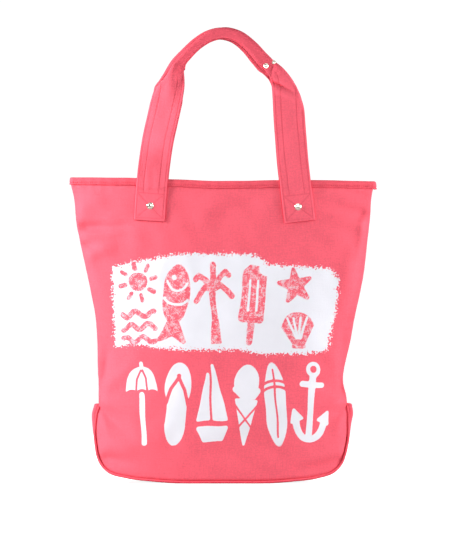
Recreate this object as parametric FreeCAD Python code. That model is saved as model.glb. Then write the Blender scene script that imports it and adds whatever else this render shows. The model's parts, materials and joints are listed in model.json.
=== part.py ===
import FreeCAD, Part
import math
import os

from FreeCAD import Placement, Rotation, Vector

# Canvas beach tote. Millimetres. Origin on the ground under the middle of the base,
# +X to the wearer's right as the printed front is faced, -Y towards the front, +Z up.
# The front half is modelled, and the back half is its mirror image.

# Body
RIM_HEIGHT = 402.0
EAR_HEIGHT = 105.0
FLAT_BASE_HALF = 80.0
SIDE_SEAM = [  # half width, height: from the rim down to the ear of the base
    (204.0, RIM_HEIGHT),
    (196.0, 356.0),
    (186.5, 300.0),
    (175.0, 235.0),
    (167.0, 185.0),
    (162.0, 135.0),
    (175.0, EAR_HEIGHT),
]
BASE_CORNER = [  # half width, height: from the ear down to where the base is flat
    (175.0, EAR_HEIGHT),
    (174.0, 79.0),
    (167.0, 36.0),
    (153.0, 14.0),
    (127.0, 4.5),
    (FLAT_BASE_HALF, 0.0),
]

# Depth: each panel is a lens, deepest in the middle and closed at the side seams
SIDE_HALF_DEPTH = 3.0
RIM_BULGE = 26.0
BASE_BULGE = 52.0
BULGE_POWER = 1.2
BASE_LENS_SPREAD = 45.0
SHEET_REACH = 230.0
SHEET_LOW = -18.0
SHEET_HIGH = 420.0
SHEET_COLUMNS = 11
SHEET_ROWS = 26

# Cloth
CANVAS = 1.5
SEAM_TAPE = 1.5
SEAM_ALLOWANCE = 10.0
PIPING = 3.0
PIPING_LIFT = 0.3
BINDING_HEIGHT = 8.0
BINDING_PROUD = 1.0
BINDING_INSIDE = 2.5
BINDING_SETBACK = 0.5
BINDING_JOIN = 4.0
KNOB_SIZE = (11.0, 9.0, BINDING_HEIGHT)
KNOB_PROUD = 0.5
KNOB_ROUND = 2.5

# Straps
STRAP_WIDTH = 40.0
STRAP = 3.0
LOOP_STRAP = 3.5
STRAP_CENTRES = (-97.0, 100.0)
TAB_BOTTOM = 350.0
PATCH_SIZE = 46.0
PATCH = 1.2
HINGE_CLEARANCE = 0.35
HINGE_OUT = 1.65
LOOP_PATH = [  # centre line: across, height, half of the strap's width
    (STRAP_CENTRES[0], RIM_HEIGHT, 20.0),
    (-88.0, 450.0, 20.0),
    (-77.0, 497.0, 20.0),
    (-70.0, 526.0, 18.0),
    (-62.0, 550.0, 12.0),
    (-50.0, 569.0, 9.0),
    (-30.0, 588.0, 8.5),
    (0.0, 599.5, 8.5),
    (34.0, 587.0, 9.5),
    (57.0, 564.0, 10.5),
    (72.0, 545.0, 13.5),
    (82.0, 525.0, 18.0),
    (88.0, 497.0, 20.0),
    (93.0, 450.0, 20.0),
    (STRAP_CENTRES[1], RIM_HEIGHT, 20.0),
]
GRIP = 8.0
GRIP_START = 548.0
GRIP_GAP_HALF = 6.0

# Rivets
POST_RADIUS = 1.2
ANCHOR_CAP_RADIUS = 4.5
ANCHOR_CAP_HEIGHT = 2.2
ANCHOR_HEIGHT = 371.0
GRIP_CAP_RADIUS = 3.2
GRIP_CAP_HEIGHT = 1.6
GRIP_RIVETS = [(59.0, 557.0), (66.5, 561.0)]
RIVET_BACK = 1.0

ALONG = Vector(1, 0, 0)
ACROSS = Vector(0, 1, 0)
UP = Vector(0, 0, 1)
DEEP = 160.0


def lens_half_width(height):
    """Half width at which the lens section closes; below the ears it opens for the base."""
    if height >= EAR_HEIGHT:
        for (high_w, high_z), (low_w, low_z) in zip(SIDE_SEAM, SIDE_SEAM[1:]):
            if height >= low_z:
                share = (height - low_z) / (high_z - low_z)
                return low_w + share * (high_w - low_w)
    drop = (EAR_HEIGHT - height) / EAR_HEIGHT
    return SIDE_SEAM[-1][0] + BASE_LENS_SPREAD * drop ** 1.5


def half_depth(x, height):
    """Distance of the panel's outer face from the middle plane of the bag."""
    fall = max(0.0, 1.0 - height / RIM_HEIGHT)
    bulge = RIM_BULGE + (BASE_BULGE - RIM_BULGE) * fall ** BULGE_POWER
    return SIDE_HALF_DEPTH + bulge * (1.0 - (x / lens_half_width(height)) ** 2)


def front_sheet():
    """The outer face of the front panel, as a smooth sheet larger than the panel."""
    across_step = 2.0 * SHEET_REACH / (SHEET_COLUMNS - 1)
    up_step = (SHEET_HIGH - SHEET_LOW) / (SHEET_ROWS - 1)
    heights = [SHEET_LOW + row * up_step for row in range(SHEET_ROWS)]
    grid = []
    for column in range(SHEET_COLUMNS):
        x = -SHEET_REACH + column * across_step
        grid.append([Vector(x, -half_depth(x, z), z) for z in heights])
    surface = Part.BSplineSurface()
    surface.interpolate(grid)
    return surface.toShape()


def smooth_curve(points, start=None, end=None):
    """Curve through the points, with optional directions at its two ends."""
    curve = Part.BSplineCurve()
    if start:
        curve.interpolate(Points=points, InitialTangent=start, FinalTangent=end)
    else:
        curve.interpolate(points)
    return curve


def beside(points, curve, distances):
    """Points moved square off the curve, to the right of its direction as seen from
    the front."""
    moved = []
    for point, distance in zip(points, distances):
        along = curve.tangent(curve.parameter(point))[0]
        moved.append(point + Vector(along.z, 0, -along.x) * distance)
    return moved


def mirror_x(points):
    return [Vector(-point.x, point.y, point.z) for point in points]


def closed_face(right, left):
    """Face between a right-hand and a left-hand chain of curves, closed by straight
    lines at the top and at the bottom."""
    high_right = right[0].value(right[0].FirstParameter)
    high_left = left[0].value(left[0].FirstParameter)
    low_right = right[-1].value(right[-1].LastParameter)
    low_left = left[-1].value(left[-1].LastParameter)
    edges = [Part.makeLine(high_right, high_left), Part.makeLine(low_right, low_left)]
    edges += [curve.toShape() for curve in right + left]
    return Part.Face(Part.Wire(Part.sortEdges(edges)[0]))


def corner_curves(inset):
    """Right and left corner of the base, ear to flat, moved in by the inset."""
    points = [Vector(x, 0, z) for x, z in BASE_CORNER]
    curve = smooth_curve(points, -UP, -ALONG)
    points = beside(points, curve, [inset] * len(points))
    right = smooth_curve(points, -UP, -ALONG)
    left = smooth_curve(mirror_x(points), -UP, ALONG)
    return right, left


def silhouette():
    """Face of the bag's front view, rim to ground."""
    side = [Vector(x, 0, z) for x, z in SIDE_SEAM]
    right_corner, left_corner = corner_curves(0)
    right = [smooth_curve(side), right_corner]
    left = [smooth_curve(mirror_x(side)), left_corner]
    return closed_face(right, left)


def base_band(outer, inner):
    """U-shaped edge of the base, ear to ear, between two insets from the silhouette."""
    faces = []
    for inset in (outer, inner):
        right, left = corner_curves(inset)
        faces.append(closed_face([right], [left]))
    return faces[0].cut(faces[1])


def height_slab(low, high):
    """Block as wide and deep as anything here, between two heights."""
    corner = Vector(-SHEET_REACH, -DEEP, low)
    return Part.makeBox(2 * SHEET_REACH, 2 * DEEP, high - low, corner)


def prism(face):
    """The face pushed through the whole depth of the bag."""
    return face.translated(ACROSS * -DEEP).extrude(ACROSS * 2 * DEEP)


def layer(sheet, column, inner, outer):
    """What lies inside the column between two distances out from the panel's face."""
    slab = sheet.translated(ACROSS * -outer).extrude(ACROSS * (outer - inner))
    return slab.common(column).Solids[0]


def mirrored(shape):
    """The back half's copy of a front shape."""
    return shape.mirror(Vector(0, 0, 0), ACROSS)


def outward_placement(x, height, distance):
    """Placement on the front panel whose +Z points straight out of the cloth."""
    step = 1.0
    slope_x = (half_depth(x + step, height) - half_depth(x - step, height)) / (2 * step)
    slope_z = (half_depth(x, height + step) - half_depth(x, height - step)) / (2 * step)
    out = Vector(-slope_x, -1, -slope_z).normalize()
    foot = Vector(x, -half_depth(x, height), height)
    return Placement(foot + out * distance, Rotation(UP, out))


def dome(radius, height):
    """Rivet cap: a shallow ball segment on the plane z = 0."""
    ball_radius = (radius ** 2 + height ** 2) / (2 * height)
    ball = Part.makeSphere(ball_radius)
    ball.translate(UP * (height - ball_radius))
    return ball.common(Part.makeCylinder(radius, height))


def rivet(cap_radius, cap_height, grip_length):
    """Cap with its post, the disc that the post is set in, and the post alone, for a
    stack of cloth that lies between z = -grip_length and z = 0."""
    post_length = grip_length + RIVET_BACK
    post = Part.makeCylinder(POST_RADIUS, post_length, UP * -post_length)
    cap = dome(cap_radius, cap_height).fuse(post).removeSplitter()
    disc = Part.makeCylinder(cap_radius, RIVET_BACK, UP * -post_length)
    return cap.Solids[0], disc.cut(post).Solids[0], post


def rivet_set(parts, placements):
    """The same rivet parts at each placement: a list of copies for each part."""
    return [[placed(part, place) for place in placements] for part in parts]


def placed(shape, placement):
    copy = shape.copy()
    copy.Placement = placement
    return copy


def make_panel(sheet, outline, posts):
    """Front panel: from the base seam to the underside of the rim binding."""
    region = prism(outline.cut(base_band(0, CANVAS)))
    region = region.common(height_slab(0, RIM_HEIGHT - BINDING_HEIGHT))
    return layer(sheet, region, -CANVAS, 0).cut(posts).Solids[0]


def make_gusset(sheet):
    """Boat-shaped base: one strip from ear to ear, flat where the bag stands."""
    behind_front = sheet.extrude(ACROSS * DEEP)
    before_back = mirrored(behind_front)
    strip = prism(base_band(0, CANVAS))
    return strip.common(behind_front).common(before_back).Solids[0]


def make_piping(sheet):
    """Raised welt along one edge of the base, on the outside."""
    band = prism(base_band(PIPING_LIFT, PIPING_LIFT + PIPING))
    return layer(sheet, band, 0, PIPING)


def make_base_tape(sheet):
    """Tape over the raw edges of the base seam, flat against the panel inside."""
    band = prism(base_band(CANVAS, CANVAS + SEAM_ALLOWANCE))
    return layer(sheet, band, -CANVAS - SEAM_TAPE, -CANVAS)


def make_side_tape(side):
    """Bound seam allowance between the two panels, along one side."""
    thickness = 2 * (SIDE_HALF_DEPTH - CANVAS)
    outer = [Vector(side * x, -thickness / 2, z) for x, z in SIDE_SEAM]
    inner = [point - ALONG * side * SEAM_ALLOWANCE for point in outer]
    face = closed_face([smooth_curve(outer)], [smooth_curve(inner)])
    strip = face.extrude(ACROSS * thickness)
    return strip.common(height_slab(EAR_HEIGHT, RIM_HEIGHT - BINDING_HEIGHT)).Solids[0]


def make_binding(sheet, outline):
    """Tape folded over the rim all the way round, its ends tucked in one corner knob."""
    low = RIM_HEIGHT - BINDING_HEIGHT
    strip = prism(outline).common(height_slab(low, RIM_HEIGHT))
    front = layer(sheet, strip, -BINDING_INSIDE, BINDING_PROUD)
    corner = SIDE_SEAM[0][0] - BINDING_SETBACK
    join_corner = Vector(-corner, -SIDE_HALF_DEPTH, low)
    join = Part.makeBox(BINDING_JOIN, 2 * SIDE_HALF_DEPTH, BINDING_HEIGHT, join_corner)
    length, depth, height = KNOB_SIZE
    knob_corner = Vector(corner + KNOB_PROUD - length, -depth / 2, RIM_HEIGHT - height)
    knob = Part.makeBox(length, depth, height, knob_corner)
    knob = knob.makeFillet(KNOB_ROUND, knob.Edges)
    return front.fuse([mirrored(front), join, knob]).removeSplitter().Solids[0]


def upright_column(centre, width, low, high):
    """Block that cuts a strap end or a patch out of the layers."""
    corner = Vector(centre - width / 2, -DEEP, low)
    return Part.makeBox(width, DEEP, high - low, corner)


def make_strap_end(sheet, centre, posts):
    """Sewn end of a strap, from its lower edge up to the line it swings on."""
    top = RIM_HEIGHT - LOOP_STRAP / 2 - HINGE_CLEARANCE
    column = upright_column(centre, STRAP_WIDTH, TAB_BOTTOM, top)
    return layer(sheet, column, BINDING_PROUD, BINDING_PROUD + STRAP).cut(posts).Solids[0]


def make_patch(sheet, centre, posts):
    """Square of canvas behind a strap end, inside the bag."""
    top = RIM_HEIGHT - BINDING_HEIGHT
    column = upright_column(centre, PATCH_SIZE, top - PATCH_SIZE, top)
    return layer(sheet, column, -CANVAS - PATCH, -CANVAS).cut(posts).Solids[0]


def loop_face():
    """Front view of the loop: flat legs that narrow into the folded grip."""
    points = [Vector(x, 0, z) for x, z, half in LOOP_PATH]
    halves = [half for x, z, half in LOOP_PATH]
    centre_line = smooth_curve(points, UP, -UP)
    inside = smooth_curve(beside(points, centre_line, halves))
    outside = smooth_curve(beside(points, centre_line, [-half for half in halves]))
    return closed_face([outside], [inside])


def make_loop(posts):
    """Moving part of a strap, upright in the plane y = 0, rounded at the swing line."""
    face = loop_face()
    legs = face.translated(ACROSS * (-LOOP_STRAP / 2)).extrude(ACROSS * LOOP_STRAP)
    grip = face.translated(ACROSS * (-GRIP / 2)).extrude(ACROSS * GRIP)
    grip = grip.common(height_slab(GRIP_START, 2 * RIM_HEIGHT))
    knuckles = []
    for centre in STRAP_CENTRES:
        start = Vector(centre - STRAP_WIDTH / 2, 0, RIM_HEIGHT)
        knuckles.append(Part.makeCylinder(LOOP_STRAP / 2, STRAP_WIDTH, start, ALONG))
    return legs.fuse([grip] + knuckles).removeSplitter().cut(posts).Solids[0]


def swing_line_depth():
    """How far in front of the middle plane the front strap swings."""
    inner_edge = min(abs(centre) for centre in STRAP_CENTRES) - STRAP_WIDTH / 2
    return half_depth(inner_edge, RIM_HEIGHT) + BINDING_PROUD + STRAP + HINGE_OUT


def lean_back(shape):
    """Move an upright loop onto the front swing line, leaning in towards the other."""
    depth = swing_line_depth()
    top = max(z for x, z, half in LOOP_PATH)
    lean = math.degrees(math.atan2(depth - GRIP_GAP_HALF, top - RIM_HEIGHT))
    copy = shape.copy()
    copy.rotate(Vector(0, 0, RIM_HEIGHT), ALONG, -lean)
    copy.translate(ACROSS * -depth)
    return copy


def save(name, shape):
    shape.exportStep("parts/" + name + ".step")


def save_pair(name, shape):
    """A front piece, and the same piece on the back."""
    save("front_" + name, shape)
    save("back_" + name, mirrored(shape))


def make_bag():
    """Everything sewn or riveted to the body, which doesn't move."""
    sheet = front_sheet()
    outline = silhouette()
    stack = CANVAS + PATCH + BINDING_PROUD + STRAP
    parts = rivet(ANCHOR_CAP_RADIUS, ANCHOR_CAP_HEIGHT, stack)
    out = BINDING_PROUD + STRAP
    places = [outward_placement(centre, ANCHOR_HEIGHT, out) for centre in STRAP_CENTRES]
    caps, discs, posts = rivet_set(parts, places)
    save_pair("panel", make_panel(sheet, outline, posts))
    save("base_gusset", make_gusset(sheet))
    save("rim_binding", make_binding(sheet, outline))
    save_pair("base_piping", make_piping(sheet))
    save_pair("base_seam_tape", make_base_tape(sheet))
    save("left_side_seam_tape", make_side_tape(-1))
    save("right_side_seam_tape", make_side_tape(1))
    for name, centre in zip(("left", "right"), STRAP_CENTRES):
        save_pair(name + "_strap_end", make_strap_end(sheet, centre, posts))
        save_pair(name + "_inside_patch", make_patch(sheet, centre, posts))
    save("anchor_rivet_caps", Part.makeCompound(caps + [mirrored(cap) for cap in caps]))
    save("anchor_rivet_backs", Part.makeCompound(discs + [mirrored(disc) for disc in discs]))


def make_handles():
    """The two swinging loops, with the rivets that hold their folded grips."""
    parts = rivet(GRIP_CAP_RADIUS, GRIP_CAP_HEIGHT, GRIP)
    front_face = Rotation(UP, -ACROSS)
    places = [Placement(Vector(x, -GRIP / 2, z), front_face) for x, z in GRIP_RIVETS]
    caps, discs, posts = rivet_set(parts, places)
    save_pair("handle_loop", lean_back(make_loop(posts)))
    save_pair("grip_rivet_caps", lean_back(Part.makeCompound(caps)))
    save_pair("grip_rivet_backs", lean_back(Part.makeCompound(discs)))


os.makedirs("parts", exist_ok=True)
make_bag()
make_handles()
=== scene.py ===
import json
import math

import bmesh
import bpy
import numpy as np
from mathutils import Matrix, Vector


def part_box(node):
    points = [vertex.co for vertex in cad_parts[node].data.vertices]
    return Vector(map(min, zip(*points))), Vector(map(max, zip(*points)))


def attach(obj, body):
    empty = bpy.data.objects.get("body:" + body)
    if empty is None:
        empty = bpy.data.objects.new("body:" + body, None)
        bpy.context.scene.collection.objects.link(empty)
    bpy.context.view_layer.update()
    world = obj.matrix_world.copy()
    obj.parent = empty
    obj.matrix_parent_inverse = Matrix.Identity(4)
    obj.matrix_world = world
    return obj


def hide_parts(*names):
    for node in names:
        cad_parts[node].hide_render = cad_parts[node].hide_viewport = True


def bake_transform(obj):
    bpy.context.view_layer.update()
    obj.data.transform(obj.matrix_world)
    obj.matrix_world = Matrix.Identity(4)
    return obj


# A coral canvas beach tote. Lengths are millimetres in the frame's axes (+X right, -Y front,
# +Z up) until make_mesh() turns them into the frame's metres. The front and the back half
# share every shape function: `facing` is -1 for the front and +1 for the back.

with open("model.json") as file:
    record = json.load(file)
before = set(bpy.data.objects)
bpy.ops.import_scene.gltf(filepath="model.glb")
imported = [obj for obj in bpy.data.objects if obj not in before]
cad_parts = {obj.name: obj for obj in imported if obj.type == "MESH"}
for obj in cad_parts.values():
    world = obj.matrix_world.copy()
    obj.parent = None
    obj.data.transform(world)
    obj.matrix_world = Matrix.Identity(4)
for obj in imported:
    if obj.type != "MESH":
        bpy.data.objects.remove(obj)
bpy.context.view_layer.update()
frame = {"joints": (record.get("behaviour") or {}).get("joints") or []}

MM = 0.001
FRONT = -1
BACK = 1
SIDE_NAMES = {-1: "left", 1: "right"}


def cad_box(node):
    """Lowest and highest corner of a CAD node, in millimetres."""
    low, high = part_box(node)
    return np.array(low) / MM, np.array(high) / MM


def named(facing, what):
    """Name of a piece or node that the front and the back both have."""
    return ("front_" if facing == FRONT else "back_") + what


# ---- sizes taken from the frame ----
rim_low, rim_high = cad_box("rim_binding")
_, gusset_high = cad_box("base_gusset")
RIM_Z = rim_high[2]
RIM_HALF = -rim_low[0]
MOUTH_HALF = RIM_HALF - 1.0  # the cloth inside the rim tape
EAR_Z = gusset_high[2]
EAR_HALF = gusset_high[0]
BASE_HALF_DEPTH = gusset_high[1]
BINDING_HEIGHT = rim_high[2] - rim_low[2]
JOINTS = {joint["name"]: joint for joint in frame["joints"]}
HINGE_Y = abs(JOINTS["front_handle_swing"]["pos_m"][1]) / MM
HINGE_Z = JOINTS["front_handle_swing"]["pos_m"][2] / MM
GRIP_TOP_Z = cad_box("front_handle_loop")[1][2]

# ---- the bag's outline, as the cloth hangs ----
# Height, left and right half width of the sewn sides above the ears.
SIDE_EDGES = [
    (EAR_Z, 166.5, 166.0), (132.0, 165.5, 156.5), (150.0, 166.5, 160.8), (185.0, 167.0, 169.8),
    (217.0, 169.0, 175.5), (249.0, 174.5, 182.5), (280.0, 181.0, 188.5), (324.0, 190.5, 193.5),
    (350.0, 195.3, 196.5), (377.0, 197.8, 198.3), (RIM_Z, MOUTH_HALF, MOUTH_HALF - 0.5),
]
# Half width, height: from the ear round the corner to the flat.
LEFT_BASE = [
    (EAR_HALF - 2.5, EAR_Z - 2.0), (EAR_HALF, 93.0), (EAR_HALF, 79.0), (171.5, 50.0),
    (169.0, 36.0), (164.5, 25.0), (154.0, 14.0), (127.0, 6.0), (96.0, 2.4), (60.0, 0.0),
    (0.0, 0.0),
]
RIGHT_BASE = [
    (EAR_HALF - 1.0, EAR_Z - 2.0), (EAR_HALF, 93.0), (173.0, 79.0), (168.5, 50.0),
    (165.0, 36.0), (160.5, 25.0), (150.0, 14.0), (126.0, 6.0), (96.0, 2.4), (60.0, 0.0),
    (0.0, 0.0),
]
# Across, lift of the rim above the CAD rim.
RIM_LINE = [
    (-RIM_HALF, 5.5), (-130.0, 4.5), (-60.0, 2.0), (0.0, 0.0), (110.0, 1.6), (RIM_HALF, 0.0),
]

# ---- how far the panels stand from the middle plane, and their folds ----
SIDE_HALF_DEPTH = 2.0
RIM_BULGE = 26.0  # at the rim, beyond the sewn sides
BASE_BULGE = BASE_HALF_DEPTH - 3.0  # at the ground
BULGE_POWER = 1.2
LENS_POWER = 3.0  # higher is flatter in the middle
LENS_MARGIN = 3.0
BASE_LENS_SPREAD = 49.0  # extra half width of the section at the ground
FAN_HEIGHT = 0.3  # share of the height over which the grid's lines fan out
SEAM_INSET = 2.4  # of the base seam from the outline
EAR_WRAP = 5.4  # base strip seen beside the panel at an ear
EAR_WRAP_START = 0.8  # share of the way to the ear
SIDE_PUCKER = 0.3
RIM_PUCKER = 0.18
LEAST_DEPTH = SIDE_HALF_DEPTH + 0.6  # nearer the middle plane no panel comes
LEAST_DEPTH_BLEND = 0.8  # softness of that limit
FOLD_TAIL = 0.12  # the higher, the more of a fold is left at its end
SLOW_WAVES = 1.3
QUICK_WAVES = 0.55

# ---- cloth and straps ----
CANVAS = 1.2  # thickness
STRAP = 2.7  # thickness
STRAP_HALF = 20.8
FOLD_HALF = 4.7  # half the cloth that turns in the grip's first fold
TUCK_HALF = 2.4  # and in its second
PIPING_RADIUS = 1.7
PIPING_OUT = 0.7  # from the seam to the piping's middle
SEAM_TUCK = 1.5  # how far a panel dips in at the base seam
SEAM_TUCK_REACH = 2.4
SEAM_TURN = 2.9  # angle at which a panel's rolled side ends
SEAM_GAP = 0.15  # from there to the middle plane
SEAM_TAPE = 1.5  # thickness
SEAM_ALLOWANCE = 10.0  # width of the seam tapes
EAR_ROUND = 3.5  # rise of the base strip as it rounds over an ear
GRIP_HALF_DEPTH = 4.9
GRIP_THICKNESS = 8.6
GRIP_RIVETS = [(58.5, 557.0), (68.0, 561.5)]  # across and height in the front view
ANCHOR_RIVET_UP = 20.0  # along the strap from its end
PATCH = 1.2  # thickness
PATCH_HEM = 3  # from the patch's edge to its stitches


# ======================================================================= numbers
def unit(vectors):
    length = np.linalg.norm(vectors, axis=-1, keepdims=True)
    return vectors / np.maximum(length, 1e-9)


def step_between(value, low, high):
    """0 below low, 1 above high, smooth between."""
    share = np.clip((value - low) / (high - low), 0.0, 1.0)
    return share * share * (3.0 - 2.0 * share)


def cubic(t, width, values, slopes, index):
    """Cubic from point `index` to the next, `t` of the way along the `width` between them."""
    start = (1 + 2 * t) * (1 - t) ** 2 * values[index] + t * (1 - t) ** 2 * width * slopes[index]
    end = t * t * (3 - 2 * t) * values[index + 1] + t * t * (t - 1) * width * slopes[index + 1]
    return start + end


def smooth_through(places, values):
    """Monotone cubic through the points, flat beyond the ends, as a function."""
    places = np.asarray(places, float)
    values = np.asarray(values, float)
    gap = np.diff(places)
    slope = np.diff(values) / gap
    tangent = np.zeros_like(values)
    same_sign = slope[:-1] * slope[1:] > 0
    mean = 2.0 * slope[:-1] * slope[1:] / np.where(same_sign, slope[:-1] + slope[1:], 1.0)
    tangent[1:-1] = np.where(same_sign, mean, 0.0)
    tangent[0] = slope[0]
    tangent[-1] = slope[-1]

    def value_at(place):
        place = np.clip(place, places[0], places[-1])
        index = np.clip(np.searchsorted(places, place) - 1, 0, len(gap) - 1)
        width = gap[index]
        return cubic((place - places[index]) / width, width, values, tangent, index)

    return value_at


def lengths_along(points):
    """Distance of each point from the first, along the line through them all."""
    return np.cumsum(np.linalg.norm(np.diff(points, axis=0, prepend=points[:1]), axis=-1))


def points_at(place, lengths, points):
    """Points at a distance along a line, given the distance of each of its points."""
    return np.stack([np.interp(place, lengths, points[:, k]) for k in range(points.shape[1])], -1)


def curve_through(points, samples=400):
    """Smooth open curve through points, sampled at even steps of its length. Returns a
    function of the share of the length, and the length."""
    points = np.asarray(points, float)
    chord = lengths_along(points)
    tangent = np.gradient(points, chord, axis=0)
    fine = np.linspace(0, chord[-1], samples * 4)
    index = np.clip(np.searchsorted(chord, fine) - 1, 0, len(chord) - 2)
    width = np.diff(chord)[index][:, None]
    path = cubic((fine - chord[index])[:, None] / width, width, points, tangent, index)
    length = lengths_along(path)

    def point_at(share):
        return points_at(np.asarray(share) * length[-1], length, path)

    return point_at, length[-1]


def to_segment(x, z, start, end):
    """Distance of places from a straight line, and how far along it the nearest point is."""
    run = end[0] - start[0]
    rise = end[1] - start[1]
    share = ((x - start[0]) * run + (z - start[1]) * rise) / (run ** 2 + rise ** 2)
    share = np.clip(share, 0, 1)
    return np.hypot(x - start[0] - share * run, z - start[1] - share * rise), share


def waves(x, z, seed, shortest, longest, count=14):
    """Even random undulation between about -1 and 1, for cloth that isn't quite flat."""
    random = np.random.RandomState(seed)
    total = np.zeros(np.broadcast(x, z).shape)
    for _ in range(count):
        angle = random.uniform(0, math.pi)
        length = random.uniform(shortest, longest)
        phase = random.uniform(0, 2 * math.pi)
        across = x * math.cos(angle) + z * math.sin(angle)
        total = total + np.sin(across * 2 * math.pi / length + phase)
    return total / math.sqrt(count * 2)


# ======================================================================= meshes
def grid_faces(rows, columns, wrap_rows=False, wrap_columns=False):
    row = np.arange(rows if wrap_rows else rows - 1)
    column = np.arange(columns if wrap_columns else columns - 1)
    row, column = [part.ravel() for part in np.meshgrid(row, column, indexing="ij")]
    next_row = (row + 1) % rows
    next_column = (column + 1) % columns
    corners = [(row, column), (row, next_column), (next_row, next_column), (next_row, column)]
    return np.stack([r * columns + c for r, c in corners], -1)


def make_mesh(name, points, faces, layers=None):
    """Object from points in millimetres, faces, and point attributes {name: values}."""
    points = np.asarray(points, float).reshape(-1, 3) * MM
    mesh = bpy.data.meshes.new(name)
    mesh.from_pydata(points.tolist(), [], [list(map(int, face)) for face in faces])
    work = bmesh.new()
    work.from_mesh(mesh)
    bmesh.ops.recalc_face_normals(work, faces=work.faces)
    work.to_mesh(mesh)
    work.free()
    mesh.polygons.foreach_set("use_smooth", [True] * len(mesh.polygons))
    for layer, values in (layers or {}).items():
        values = np.asarray(values, np.float32)
        kind = "FLOAT" if values.ndim == 1 else "FLOAT_VECTOR"
        slot = "value" if values.ndim == 1 else "vector"
        attribute = mesh.attributes.new(layer, kind, "POINT")
        attribute.data.foreach_set(slot, values.ravel())
    mesh.update()
    piece = bpy.data.objects.new(name, mesh)
    bpy.context.scene.collection.objects.link(piece)
    return piece


def cloth_layer(across, along):
    """Attribute that carries the weave's own directions, in millimetres."""
    across, along = np.broadcast_arrays(across, along)
    return np.stack([across.ravel(), along.ravel(), np.zeros(across.size)], -1)


def sheet_mesh(name, points, normals, thickness, across, along, extra=None, inner_value=0.0):
    """Two-sided cloth from a grid of outer points: outer face, inner face and edges."""
    rows, columns = points.shape[:2]
    count = rows * columns
    inner = points - normals * thickness
    outer_faces = grid_faces(rows, columns)
    inner_faces = outer_faces[:, ::-1] + count
    border = [(0, c) for c in range(columns)]
    border += [(r, columns - 1) for r in range(1, rows)]
    border += [(rows - 1, c) for c in range(columns - 2, -1, -1)]
    border += [(r, 0) for r in range(rows - 2, 0, -1)]
    ring = np.array([r * columns + c for r, c in border])
    following = np.roll(ring, -1)
    edge_faces = np.stack([following, ring, ring + count, following + count], -1)
    layers = {"cloth": np.tile(cloth_layer(across, along), (2, 1))}
    for layer, values in (extra or {}).items():
        layers[layer] = np.concatenate([values.ravel(), np.full(count, inner_value)])
    everything = np.concatenate([points.reshape(-1, 3), inner.reshape(-1, 3)])
    faces = np.concatenate([outer_faces, inner_faces, edge_faces])
    return make_mesh(name, everything, faces, layers)


def sweep_mesh(name, rings, across, along, closed=False, seam=None):
    """Skin over a row of closed rings, capped flat at its ends unless it is closed."""
    count, size = rings.shape[:2]
    faces = grid_faces(count, size, wrap_rows=closed, wrap_columns=True).tolist()
    if not closed:
        half = size // 2
        for first, flip in ((0, False), ((count - 1) * size, True)):
            for j in range(half - 1):
                quad = [first + j, first + j + 1, first + size - 2 - j, first + size - 1 - j]
                faces.append(quad if flip else quad[::-1])
    layers = {"cloth": cloth_layer(across, along)}
    # seam: how much the canvas material darkens here, mostly painted shade
    if seam is not None:
        layers["seam"] = np.broadcast_to(seam, (count, size)).ravel()
    return make_mesh(name, rings, faces, layers)


STITCH_PITCH = 3.0
STITCH_LENGTH = 2.1
STITCH_STEP = 0.6  # each way, to find the direction of a line


def stitch_mesh(name, lines, radius=0.36):
    """Sewing thread as separate raised stitches along each (points, normals) line."""
    rings, sides = 7, 6
    lengthwise = np.linspace(-1, 1, rings)
    around = np.arange(sides) * 2 * math.pi / sides
    swell = np.sqrt(np.maximum(0.02, 1 - lengthwise ** 4))
    body = np.zeros((rings, sides, 3))
    body[..., 0] = lengthwise[:, None] * STITCH_LENGTH / 2
    body[..., 1] = np.cos(around)[None] * radius * swell[:, None]
    body[..., 2] = np.sin(around)[None] * radius * swell[:, None]
    body[..., 2] -= (lengthwise[:, None] ** 2) * radius
    body = body.reshape(-1, 3)
    shell = grid_faces(rings, sides, wrap_columns=True)
    everything, faces, cloth = [], [], []
    for points, normals in lines:
        reach = lengths_along(points)
        places = np.arange(STITCH_PITCH / 2, reach[-1], STITCH_PITCH)
        centre = points_at(places, reach, points)
        ahead = points_at(places + STITCH_STEP, reach, points)
        behind = points_at(places - STITCH_STEP, reach, points)
        up = unit(points_at(places, reach, normals))
        way = unit(ahead - behind)
        side = unit(np.cross(up, way))
        up = np.cross(way, side)
        for k in range(len(places)):
            turn = np.stack([way[k], side[k], up[k]])
            faces.append(shell + len(everything) * len(body))
            everything.append(body @ turn + centre[k])
            cloth.append(body)
    return make_mesh(name, np.concatenate(everything), np.concatenate(faces),
                     {"cloth": np.concatenate(cloth)})


# ======================================================================= the bag's shape
heights = [row[0] for row in SIDE_EDGES]
left_edge = smooth_through(heights, [row[1] for row in SIDE_EDGES])
right_edge = smooth_through(heights, [row[2] for row in SIDE_EDGES])
rim_lift = smooth_through([x for x, lift in RIM_LINE], [lift for x, lift in RIM_LINE])
left_corner, _ = curve_through([(-x, z) for x, z in LEFT_BASE[::-1]])
right_corner, _ = curve_through(RIGHT_BASE[::-1])


def silhouette(u):
    """Outer line of the base, from the left ear (u = -1) through the ground to the right."""
    share = np.abs(u)
    return np.where(np.asarray(u)[..., None] < 0, left_corner(share), right_corner(share))


def silhouette_normal(u):
    """Direction out of the base in the front view."""
    ahead = silhouette(np.clip(u + 0.004, -1, 1)) - silhouette(np.clip(u - 0.004, -1, 1))
    along = unit(ahead)
    return np.stack([along[..., 1], -along[..., 0]], -1)


def seam_line(u):
    """Lower edge of the panels, inside the silhouette by the piping and, at the ears, by
    the part of the base that shows round the corner."""
    inset = SEAM_INSET + EAR_WRAP * step_between(np.abs(u), EAR_WRAP_START, 1.0)
    return silhouette(u) - silhouette_normal(u) * np.asarray(inset)[..., None]


def edge_half_width(x, z):
    return np.where(x < 0, left_edge(z), right_edge(z))


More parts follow.
